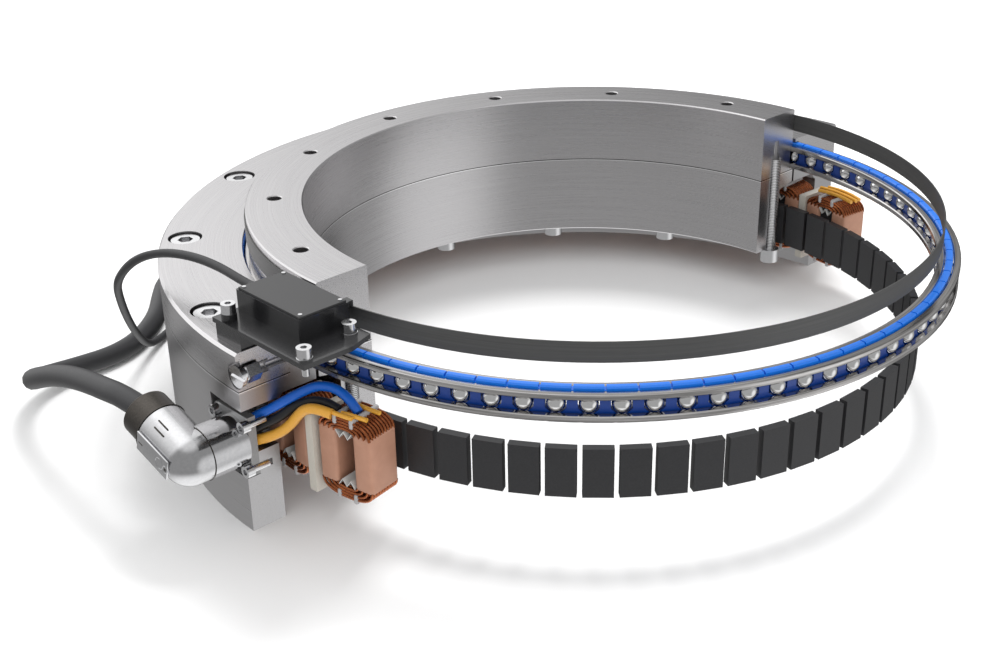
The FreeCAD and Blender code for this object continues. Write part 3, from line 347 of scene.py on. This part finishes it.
def finish(name, dark, light, metallic, rough, texture, lines, depth, coat=0.0):
    """A finish whose colour runs from dark to light and whose gloss varies with its texture."""
    material = bpy.data.materials.new(name)
    material.use_nodes = True
    tree = material.node_tree
    shader = tree.nodes["Principled BSDF"]
    shader.inputs["Metallic"].default_value = metallic
    shader.inputs["Coat Weight"].default_value = coat
    marks = add_node(tree, "ShaderNodeGroup", {"node_tree": texture}, {"Lines": lines, "Depth": depth})
    tint = add_node(tree, "ShaderNodeMix", {"data_type": "RGBA"})
    tint.inputs[6].default_value = (*dark, 1.0)
    tint.inputs[7].default_value = (*light, 1.0)
    tree.links.new(marks.outputs["Streaks"], tint.inputs[0])
    tree.links.new(tint.outputs[2], shader.inputs["Base Color"])
    gloss = add_node(tree, "ShaderNodeMapRange", None, {"To Min": rough[0], "To Max": rough[1]})
    tree.links.new(marks.outputs["Streaks"], gloss.inputs["Value"])
    tree.links.new(gloss.outputs[0], shader.inputs["Roughness"])
    tree.links.new(marks.outputs["Normal"], shader.inputs["Normal"])
    return material


# Finishes by slot: dark and light colour, metallic, roughness, texture, its lines and depth, and coat
FINISHES = {
    "ring_metal": finish("brushed ring", (0.52, 0.51, 0.52), (0.66, 0.65, 0.655), 1.0,
                         (0.24, 0.34), BRUSHING, 2400.0, 0.14),
    "housing_metal": finish("satin housing", (0.46, 0.455, 0.46), (0.58, 0.57, 0.575), 1.0,
                            (0.26, 0.36), BRUSHING, 2400.0, 0.12),
    "wire_steel": finish("race wire steel", (0.14, 0.135, 0.13), (0.86, 0.84, 0.83), 1.0,
                         (0.10, 0.18), BRUSHING, 700.0, 0.1),
    "ball_steel": finish("ball steel", (0.80, 0.80, 0.80), (0.86, 0.86, 0.86), 1.0,
                         (0.05, 0.09), GRAIN, 900.0, 0.01),
    "cage_plastic": finish("blue cage plastic", (0.002, 0.13, 0.60), (0.004, 0.18, 0.76), 0.0,
                           (0.26, 0.36), GRAIN, 1500.0, 0.06, 0.3),
    "tape_steel": finish("dark scale tape", (0.075, 0.075, 0.075), (0.11, 0.11, 0.108), 0.6,
                         (0.36, 0.46), BRUSHING, 1500.0, 0.05),
    "magnet": finish("coated magnet", (0.022, 0.022, 0.024), (0.036, 0.036, 0.038), 0.3,
                     (0.34, 0.48), GRAIN, 1200.0, 0.1),
    "core": finish("laminated core", (0.05, 0.05, 0.055), (0.16, 0.16, 0.165), 0.7,
                   (0.35, 0.5), THREAD, 320.0, 0.5),
    "copper": finish("wrapped copper legs", (0.40, 0.20, 0.13), (0.52, 0.28, 0.19), 0.15,
                     (0.40, 0.55), GRAIN, 220.0, 0.25),
    "post_plastic": finish("ivory post", (0.52, 0.49, 0.43), (0.60, 0.57, 0.51), 0.0,
                           (0.35, 0.5), GRAIN, 800.0, 0.08),
    "paper": finish("slot paper", (0.50, 0.50, 0.49), (0.62, 0.62, 0.60), 0.0,
                    (0.6, 0.8), GRAIN, 1500.0, 0.2),
    "screw_steel": finish("bright screws", (0.68, 0.68, 0.69), (0.80, 0.80, 0.81), 1.0,
                          (0.12, 0.24), GRAIN, 900.0, 0.05),
    "flange_metal": finish("grey flange", (0.30, 0.30, 0.30), (0.40, 0.40, 0.40), 0.8,
                           (0.34, 0.46), GRAIN, 900.0, 0.06),
    "connector_metal": finish("nickel plating", (0.50, 0.50, 0.51), (0.62, 0.62, 0.63), 1.0,
                              (0.10, 0.18), GRAIN, 700.0, 0.01),
    "nut_metal": finish("dark nut", (0.05, 0.046, 0.042), (0.11, 0.10, 0.09), 1.0,
                        (0.25, 0.4), GRAIN, 1300.0, 0.1),
    "lead_blue": finish("blue insulation", (0.004, 0.085, 0.42), (0.006, 0.115, 0.54), 0.0,
                        (0.25, 0.38), GRAIN, 900.0, 0.06),
    "lead_black": finish("black insulation", (0.010, 0.010, 0.011), (0.018, 0.018, 0.020), 0.0,
                         (0.30, 0.45), GRAIN, 900.0, 0.06),
    "lead_yellow": finish("golden insulation", (0.62, 0.30, 0.035), (0.74, 0.38, 0.05), 0.0,
                          (0.30, 0.42), GRAIN, 900.0, 0.06),
    "cable_rubber": finish("cable sheath", (0.020, 0.020, 0.022), (0.032, 0.032, 0.034), 0.0,
                           (0.42, 0.58), GRAIN, 1200.0, 0.12),
    "head_black": finish("black head paint", (0.008, 0.008, 0.009), (0.016, 0.016, 0.017), 0.0,
                         (0.20, 0.28), GRAIN, 1500.0, 0.004, 0.3),
    "head_cover": finish("dark head cover", (0.035, 0.035, 0.036), (0.055, 0.055, 0.056), 0.2,
                         (0.36, 0.48), GRAIN, 1500.0, 0.08),
}
# Finishes of pieces that share a slot
COPPER_WIRE = finish("enamelled wire", (0.24, 0.060, 0.022), (0.60, 0.20, 0.075), 0.9,
                     (0.20, 0.34), GRAIN, 600.0, 0.05)
BOLT_THREAD = finish("threaded bolt", (0.42, 0.42, 0.42), (0.78, 0.78, 0.79), 1.0,
                     (0.15, 0.3), THREAD, 330.0, 0.7)
TIE_TAPE = finish("grey tie tape", (0.34, 0.33, 0.33), (0.42, 0.41, 0.41), 0.0,
                  (0.45, 0.6), GRAIN, 900.0, 0.1)


def shade_band(material, low, high, colour):
    """Another colour between two heights of a finish."""
    tree = material.node_tree
    shader = tree.nodes["Principled BSDF"]
    before = shader.inputs["Base Color"].links[0].from_socket
    band = add_node(tree, "ShaderNodeGroup", {"node_tree": BAND}, {"Low": low, "High": high})
    mixed = add_node(tree, "ShaderNodeMix", {"data_type": "RGBA"})
    mixed.inputs[7].default_value = (*colour, 1.0)
    tree.links.new(band.outputs["Mask"], mixed.inputs[0])
    tree.links.new(before, mixed.inputs[6])
    tree.links.new(mixed.outputs[2], shader.inputs["Base Color"])


def shade_by_height():
    """The rotor's dark seam with a painted highlight on its lower edge, painted shade on the cage's
    pockets and the bare bolt heads.
    """
    ring = FINISHES["ring_metal"]
    shade_band(ring, ROTOR_SEAM_Z - SEAM_HALF, ROTOR_SEAM_Z + SEAM_HALF, SEAM_SHADE)
    # A painted highlight along the seam's lower edge
    shade_band(ring, ROTOR_SEAM_Z - SEAM_HIGHLIGHT_LOW, ROTOR_SEAM_Z - SEAM_HIGHLIGHT_HIGH, SEAM_PAINTED_HIGHLIGHT)
    # Painted shade on the cage below its rim
    shade_band(FINISHES["cage_plastic"], 0.0, CAGE_RIM_Z, POCKET_PAINTED_SHADE)
    BOLT_THREAD.node_tree.nodes["Group"].inputs["Start"].default_value = BOLT_HEAD_TOP_Z


def dress_nodes():
    """Each node takes the finish of its slot in the record."""
    for entry in frame["record"]["subparts"]:
        node = nodes[entry["node"]]
        for slot in node.material_slots:
            slot.material = FINISHES[entry["material_slot"]]
    for slot in nodes["rotor_bolts"].material_slots:
        slot.material = BOLT_THREAD


# Modelling helpers
def deselect():
    """Nothing chosen, so that the next step works on the new piece alone."""
    bpy.ops.object.select_all(action="DESELECT")


def join(pieces, name):
    """Several pieces as one, with its place in its mesh."""
    deselect()
    for piece in pieces:
        piece.select_set(True)
    bpy.context.view_layer.objects.active = pieces[0]
    if len(pieces) > 1:
        bpy.ops.object.join()
    bpy.ops.object.transform_apply(location=True, rotation=True, scale=True)
    pieces[0].name = name
    return pieces[0]


def copies_round_axis(piece, angles_deg):
    """Copies of a piece turned about the axis, each with its own mesh. The piece goes."""
    made = []
    for angle in angles_deg:
        copy = piece.copy()
        copy.data = piece.data.copy()
        copy.data.transform(Matrix.Rotation(math.radians(angle), 4, "Z"))
        bpy.context.scene.collection.objects.link(copy)
        made.append(copy)
    bpy.data.objects.remove(piece)
    return made


def rounded_block(middle, size, corner, steps=3, smooth=True):
    """A block with rounded edges, smooth across them or left with facets."""
    deselect()
    bpy.ops.mesh.primitive_cube_add(size=1, location=middle, scale=size)
    block = join([bpy.context.object], "block")
    rounding = block.modifiers.new("rounding", "BEVEL")
    rounding.width = corner
    rounding.segments = steps
    bpy.ops.object.modifier_apply(modifier="rounding")
    if smooth:
        bpy.ops.object.shade_smooth_by_angle(angle=SMOOTH_BELOW)
    return block


def round_line(name, diameter, steps_round, steps_along):
    """A round wire or cable whose splines are laid afterwards."""
    curve = bpy.data.curves.new(name, "CURVE")
    curve.dimensions = "3D"
    curve.bevel_depth = diameter / 2
    curve.bevel_resolution = steps_round
    curve.resolution_u = steps_along
    return curve


def add_spline(curve, points):
    """A smooth open spline that starts and ends on its first and last points."""
    spline = curve.splines.new("NURBS")
    spline.points.add(len(points) - 1)
    for point, place in zip(spline.points, points):
        point.co = (*place, 1.0)
    spline.order_u = SPLINE_ORDER
    spline.use_endpoint_u = True


def put_on(piece, body, slot, material, *replaced):
    """The piece's finish, the body it moves with and the nodes it stands for."""
    piece.data.materials.clear()
    piece.data.materials.append(material)
    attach(piece, body)
    if replaced:
        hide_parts(*replaced)


# Bearing balls
def make_balls():
    """All the balls as one piece, in place of the part's plain ones."""
    deselect()
    bpy.ops.mesh.primitive_ico_sphere_add(subdivisions=BALL_ROUNDNESS, radius=BALL_R,
                                          location=(BALL_PITCH_R, 0, BALL_Z))
    ball = join([bpy.context.object], "ball")
    bpy.ops.object.shade_smooth()
    step = 360.0 / BALL_COUNT
    balls = join(copies_round_axis(ball, [BALL_START_DEG + step * k for k in range(BALL_COUNT)]),
                 "polished_balls")
    put_on(balls, "cage", "ball_steel", FINISHES["ball_steel"], "bearing_balls")


# Open coils
def coil_leg(side):
    """One wrapped leg of a coil."""
    middle = (COIL_INNER_R + COIL_DEPTH / 2, side * LEG_MIDDLE, COIL_MIDDLE_Z)
    return rounded_block(middle, (COIL_DEPTH, LEG_WIDTH, LEG_HEIGHT), LEG_ROUNDING)


def window_sheet():
    """A thin sheet across a coil's window for the core behind it, darker than the core so that it also
    paints the shade inside the window.
    """
    middle = (COIL_INNER_R + WINDOW_SHEET_DEPTH, 0, COIL_MIDDLE_Z)
    size = (WINDOW_SHEET_THICK, WINDOW_SHEET_WIDE, LEG_HEIGHT)
    return rounded_block(middle, size, WINDOW_SHEET_ROUNDING, steps=2, smooth=False)


def tie_bands():
    """The two flat ties that hold each end turn together."""
    bands = []
    for side in (1, -1):
        crown = COIL_MIDDLE_Z + side * (LEG_HEIGHT / 2 + TIE_BAND_RISE)
        for across in (-1, 1):
            middle = (COIL_INNER_R + COIL_DEPTH / 2, across * TIE_BAND_Y, crown)
            bands.append(rounded_block(middle, TIE_BAND_SIZE, TIE_BAND_ROUNDING, smooth=False))
    return join(bands, "bands")


def end_turn_wires(name):
    """The arching wires of both end turns, laid in rows and layers."""
    curve = round_line(name, WIRE_THICKNESS, *WIRE_STEPS)
    row_step = (COIL_DEPTH - WIRE_THICKNESS) / (WIRE_ROWS - 1)
    for side in (1, -1):
        for layer in range(WIRE_LAYERS):
            reach = FIRST_WIRE_Y + WIRE_LAYER_STEP * layer
            foot = COIL_MIDDLE_Z + side * (LEG_HEIGHT / 2 - WIRE_FOOT_SINK)
            crown = COIL_MIDDLE_Z + side * (LEG_HEIGHT / 2 + WIRE_RISE + WIRE_RISE_STEP * layer)
            for row in range(WIRE_ROWS):
                x = COIL_INNER_R + WIRE_THICKNESS / 2 + row_step * row
                arch = [(x, -reach, foot), (x, -reach, crown), (x, reach, crown), (x, reach, foot)]
                add_spline(curve, arch)
    return curve


def make_coil(node_name, place):
    """One open coil in its place: legs, end-turn wires, window sheet and ties."""
    turn = Matrix.Rotation(math.radians(COIL_START_DEG + COIL_PITCH_DEG * place), 4, "Z")
    legs = join([coil_leg(1), coil_leg(-1)], node_name + "_legs")
    legs.data.transform(turn)
    put_on(legs, "stator", "copper", FINISHES["copper"], node_name)
    deselect()
    wires = bpy.data.objects.new(node_name + "_wires", end_turn_wires(node_name + "_wires"))
    bpy.context.scene.collection.objects.link(wires)
    wires.select_set(True)
    bpy.context.view_layer.objects.active = wires
    bpy.ops.object.convert(target="MESH")
    bpy.ops.object.shade_smooth()
    wires.data.transform(turn)
    put_on(wires, "stator", "copper", COPPER_WIRE)
    sheet = window_sheet()
    sheet.name = node_name + "_sheet"
    sheet.data.transform(turn)
    # The sheet takes the darker magnet finish as painted shade inside the window
    put_on(sheet, "stator", "core", FINISHES["magnet"])
    bands = tie_bands()
    bands.name = node_name + "_bands"
    bands.data.transform(turn)
    put_on(bands, "stator", "paper", TIE_TAPE)


# Connector details
def thin_ring(middle, radius, thickness, turn):
    """A thin round bead, for a seam or the rim of a hole."""
    deselect()
    steps_round, steps_along = BEAD_STEPS
    bpy.ops.mesh.primitive_torus_add(location=middle, rotation=turn, major_radius=radius,
                                     minor_radius=thickness, major_segments=steps_along,
                                     minor_segments=steps_round)
    bpy.ops.object.shade_smooth()
    return join([bpy.context.object], "ring")


def make_connector_details():
    """The barrel's flat panel with its holes and marks, and the seams of barrel and knee."""
    tilt = Matrix.Translation(KNEE_PLACE) @ Matrix.Rotation(math.radians(BARREL_TILT_DEG), 4, "X")
    middle, size, corner = PANEL
    panel = rounded_block(Vector(middle) * MM, Vector(size) * MM, corner * MM)
    rims = [thin_ring(Vector(place) * MM, radius * MM, HOLE_RIM * MM, (0, QUARTER_TURN, 0))
            for place, radius in HOLES]
    face = join([panel] + rims, "connector_panel")
    face.data.transform(tilt)
    put_on(face, "stator", "connector_metal", FINISHES["connector_metal"])
    lines = [rounded_block(Vector(middle) * MM, Vector(size) * MM, corner * MM)
             for middle, size, corner in MARKS]
    lines.append(thin_ring((0, BARREL_SEAM, 0), BARREL_R, BARREL_SEAM_BEAD, (QUARTER_TURN, 0, 0)))
    marks = join(lines, "connector_marks")
    marks.data.transform(tilt)
    put_on(marks, "stator", "nut_metal", FINISHES["nut_metal"])
    seam = thin_ring(KNEE_PLACE + Vector((KNEE_REACH, 0, 0)), BARREL_R, KNEE_SEAM_BEAD,
                     (0, QUARTER_TURN, 0))
    seam.name = "knee_seam"
    put_on(seam, "stator", "nut_metal", FINISHES["nut_metal"])


# Cables
def coil_ties(name, centre, inner_r, outer_r, high, angles_deg, width):
    """Bands that hold a tied coil's turns together."""
    ties = []
    for angle in angles_deg:
        tie = rounded_block(((inner_r + outer_r) / 2, 0, high / 2 + FLOOR_GAP * MM),
                            (outer_r - inner_r + TIE_PLAY, width, high + FLOOR_GAP * MM), TIE_CORNER)
        turn = Matrix.Rotation(math.radians(angle), 4, "Z")
        tie.data.transform(Matrix.Translation((centre[0] * MM, centre[1] * MM, 0)) @ turn)
        ties.append(tie)
    bands = join(ties, name)
    put_on(bands, "stator", "cable_rubber", FINISHES["cable_rubber"])
    return bands


def stacked_turns(centre, mean_r, wide, high, diameter, start_deg):
    """The turns of a tied coil in mm, counter-clockwise, each ring beside or on the one before."""
    places = []
    for level in range(high):
        columns = range(wide) if level % 2 == 0 else reversed(range(wide))
        for column in columns:
            places.append((mean_r + (column - (wide - 1) / 2) * diameter,
                           diameter * (level + 0.5) + FLOOR_GAP))
    points = []
    steps = POINTS_PER_TURN * len(places)
    for i in range(steps + 1):
        turn = min(i // POINTS_PER_TURN, len(places) - 1)
        share = i / POINTS_PER_TURN - turn
        after = places[min(turn + 1, len(places) - 1)]
        change = max(0.0, (share - LEVEL_SHARE) / (1.0 - LEVEL_SHARE))
        radius = places[turn][0] + (after[0] - places[turn][0]) * change
        height = places[turn][1] + (after[1] - places[turn][1]) * change
        angle = math.radians(start_deg + 360.0 * i / POINTS_PER_TURN)
        points.append((centre[0] + radius * math.cos(angle), centre[1] + radius * math.sin(angle), height))
    return points


def cable_along(name, diameter, route):
    """A round cable with closed ends, along a route in mm."""
    curve = round_line(name, diameter, *CABLE_STEPS)
    curve.use_fill_caps = True
    add_spline(curve, [tuple(Vector(place) * MM) for place in route])
    cable = bpy.data.objects.new(name, curve)
    bpy.context.scene.collection.objects.link(cable)
    return cable


def lay_cable(name, route, diameter, replaced):
    """A free cable along its whole route, in place of the nodes it stands for."""
    cable = cable_along(name, diameter, route)
    put_on(cable, "stator", "cable_rubber", FINISHES["cable_rubber"], *replaced)
    cable_length(cable.data)


def make_yellow_lead():
    """The golden lead, which dips under the black one and ends in the winding."""
    lead = cable_along("yellow_lead", YELLOW_LEAD_DIAMETER, YELLOW_LEAD_ROUTE)
    put_on(lead, "stator", "lead_yellow", FINISHES["lead_yellow"], "lead_yellow")


def cable_length(curve):
    """The length of a cable's smooth line."""
    bare = curve.copy()
    bare.bevel_depth = 0.0
    holder = bpy.data.objects.new("line", bare)
    line = bpy.data.meshes.new_from_object(holder)
    total = sum((line.vertices[start].co - line.vertices[end].co).length
                for start, end in (edge.vertices for edge in line.edges))
    bpy.data.objects.remove(holder)
    return total


def make_cables():
    """Both cables with their tied coils, up to their plugs."""
    power_ties = coil_ties("power_ties", POWER_COIL_CENTRE, *POWER_COIL_EDGES, POWER_TIE_DEG,
                           POWER_TIE_WIDTH)
    encoder_ties = coil_ties("encoder_ties", ENCODER_COIL_CENTRE, *ENCODER_COIL_EDGES, ENCODER_TIE_DEG,
                             ENCODER_TIE_WIDTH)
    power = POWER_ROUTE + stacked_turns(POWER_COIL_CENTRE, POWER_COIL_R, POWER_COIL_WIDE, COIL_HIGH,
                                        POWER_DIAMETER_MM, POWER_COIL_START_DEG)
    power = power[:-POWER_COIL_FREE_POINTS] + POWER_END
    lay_cable("power_cord", power, POWER_DIAMETER_MM * MM, ("power_cable", "power_cable_coil"))
    encoder = ENCODER_ROUTE + stacked_turns(ENCODER_COIL_CENTRE, ENCODER_COIL_R, ENCODER_COIL_WIDE,
                                            COIL_HIGH, ENCODER_DIAMETER_MM, ENCODER_COIL_START_DEG)
    encoder = encoder[:-ENCODER_COIL_FREE_POINTS] + ENCODER_END
    lay_cable("encoder_cord", encoder, ENCODER_DIAMETER_MM * MM, ("encoder_cable", "encoder_cable_coil"))


# Studio
def plain_material(name, colour, rough):
    """One even colour, for the floor."""
    material = bpy.data.materials.new(name)
    material.use_nodes = True
    shader = material.node_tree.nodes["Principled BSDF"]
    shader.inputs["Base Color"].default_value = (*colour, 1.0)
    shader.inputs["Roughness"].default_value = rough
    return material


def add_light(name, place, aim, size, watts):
    """A flat lamp that lights the part and isn't seen in its gloss."""
    lamp = bpy.data.lights.new(name, "AREA")
    lamp.shape = "RECTANGLE"
    lamp.size = size[0]
    lamp.size_y = size[1]
    lamp.energy = watts
    holder = bpy.data.objects.new(name, lamp)
    holder.location = place
    holder.visible_glossy = False
    holder.rotation_euler = (Vector(aim) - Vector(place)).to_track_quat("-Z", "Y").to_euler()
    bpy.context.scene.collection.objects.link(holder)


def make_studio():
    """The floor, the surroundings and the lamps."""
    deselect()
    bpy.ops.mesh.primitive_plane_add(size=FLOOR_SIZE, location=(0, 0, 0))
    floor = bpy.context.object
    floor.name = "floor"
    floor.data.materials.append(plain_material("studio floor", FLOOR_COLOUR, FLOOR_ROUGH))
    floor.visible_glossy = False
    make_world()
    for name, (place, aim, size, watts) in LAMPS.items():
        add_light(name, place, aim, size, watts)


def make_world():
    """White to look at, with brighter and darker sides in the reflections."""
    world = bpy.data.worlds.new("studio")
    bpy.context.scene.world = world
    world.use_nodes = True
    tree = world.node_tree
    background = tree.nodes["Background"]
    background.inputs["Color"].default_value = (1.0, 1.0, 1.0, 1.0)
    heading = add_node(tree, "ShaderNodeTexCoord")
    level = add_node(tree, "ShaderNodeValue")
    level.outputs[0].default_value = REFLECTION_LEVEL
    total = level.outputs[0]
    for azimuth, elevation, inner, outer, strength in REFLECTED_SIDES:
        flat = math.cos(math.radians(elevation))
        middle = (flat * math.cos(math.radians(azimuth)), flat * math.sin(math.radians(azimuth)),
                  math.sin(math.radians(elevation)))
        nearness = add_node(tree, "ShaderNodeVectorMath", {"operation": "DOT_PRODUCT"}, {1: middle})
        tree.links.new(heading.outputs["Generated"], nearness.inputs[0])
        fade = add_node(tree, "ShaderNodeMapRange", {"interpolation_type": "SMOOTHSTEP"},
                        {"From Min": math.cos(math.radians(outer)),
                         "From Max": math.cos(math.radians(inner)), "To Min": 0.0, "To Max": strength})
        tree.links.new(nearness.outputs["Value"], fade.inputs["Value"])
        added = add_node(tree, "ShaderNodeMath", {"operation": "ADD"})
        tree.links.new(total, added.inputs[0])
        tree.links.new(fade.outputs[0], added.inputs[1])
        total = added.outputs[0]
    ray = add_node(tree, "ShaderNodeLightPath")
    chosen = add_node(tree, "ShaderNodeMix", {"data_type": "FLOAT"})
    chosen.inputs[2].default_value = SKY_LEVEL
    tree.links.new(ray.outputs["Is Glossy Ray"], chosen.inputs[0])
    tree.links.new(total, chosen.inputs[3])
    tree.links.new(chosen.outputs[0], background.inputs["Strength"])


def make_camera():
    """The photograph's viewpoint, heading and roll."""
    across = CAMERA_HEADING.cross(Vector((0, 0, 1))).normalized()
    upward = across.cross(CAMERA_HEADING).normalized()
    right = math.cos(CAMERA_ROLL) * across + math.sin(CAMERA_ROLL) * upward
    top = math.cos(CAMERA_ROLL) * upward - math.sin(CAMERA_ROLL) * across
    turn = Matrix((right, top, -CAMERA_HEADING.normalized())).transposed().to_4x4()
    view = bpy.data.cameras.new("photograph")
    view.lens = CAMERA_LENS
    view.sensor_width = CAMERA_SENSOR_WIDTH
    view.sensor_fit = "HORIZONTAL"
    view.clip_start = CAMERA_NEAR
    holder = bpy.data.objects.new("photograph", view)
    holder.matrix_world = Matrix.Translation(CAMERA_PLACE) @ turn
    bpy.context.scene.collection.objects.link(holder)
    bpy.context.scene.camera = holder


bpy.context.scene.view_settings.view_transform = "Standard"
make_camera()
make_studio()
shade_by_height()
dress_nodes()
make_balls()
for coil_node, coil_place in COIL_PLACES.items():
    make_coil(coil_node, coil_place)
make_connector_details()
make_yellow_lead()
make_cables()
